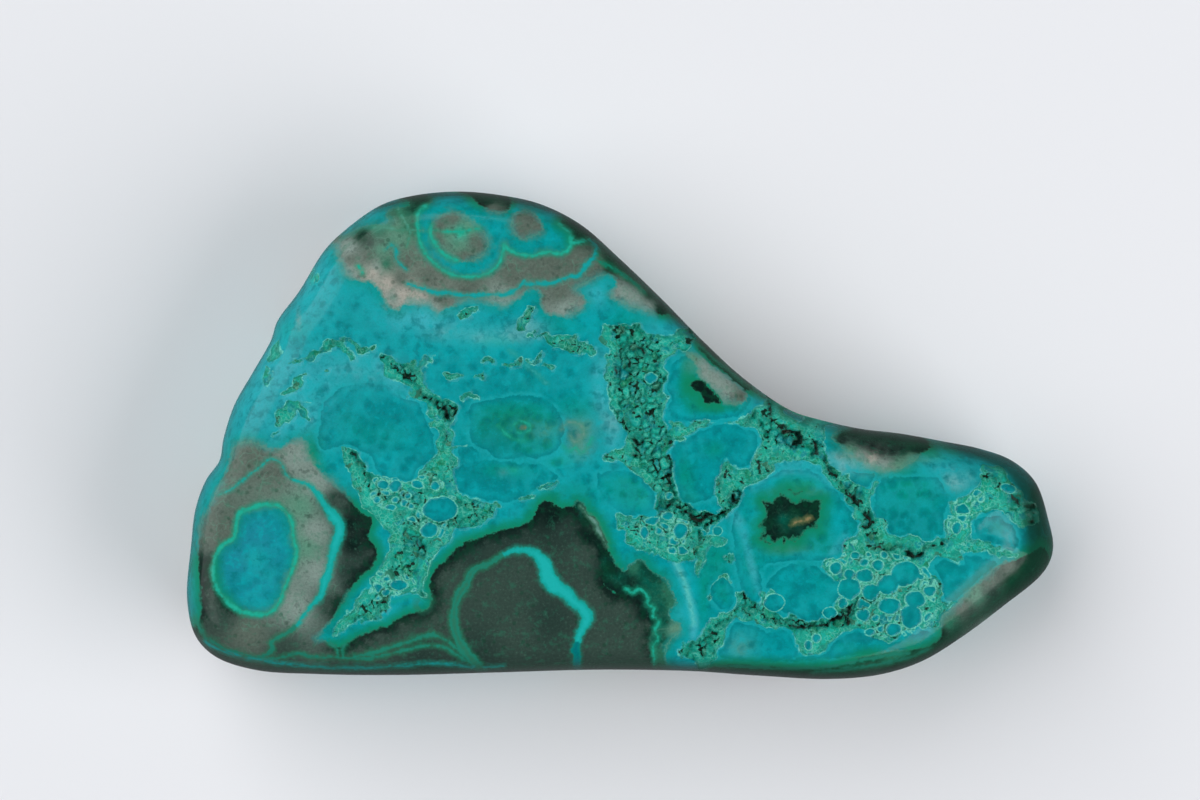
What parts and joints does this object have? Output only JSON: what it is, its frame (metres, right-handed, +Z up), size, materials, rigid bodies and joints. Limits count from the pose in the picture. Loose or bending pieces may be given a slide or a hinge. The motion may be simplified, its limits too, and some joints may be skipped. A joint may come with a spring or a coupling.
{
  "type": "polished mineral specimen",
  "caption": "Polished freeform of chrysocolla with malachite: a thick slab with a tall hump and a narrow tail, rounded shoulders and open veins in its patterned face.",
  "frame": {"origin": "middle of the bounding box's underside, where the stone rests on its flat back", "axes": "+Z up out of the patterned face, +X along the stone towards its narrow tail, +Y towards the top of the hump"},
  "size_m": [0.108, 0.0608, 0.024],
  "materials": {
    "polished_stone": "polished, glossy, with rough open veins"
  },
  "bodies": {
    "root": {"stone": "polished_stone"}
  },
  "joints": []
}
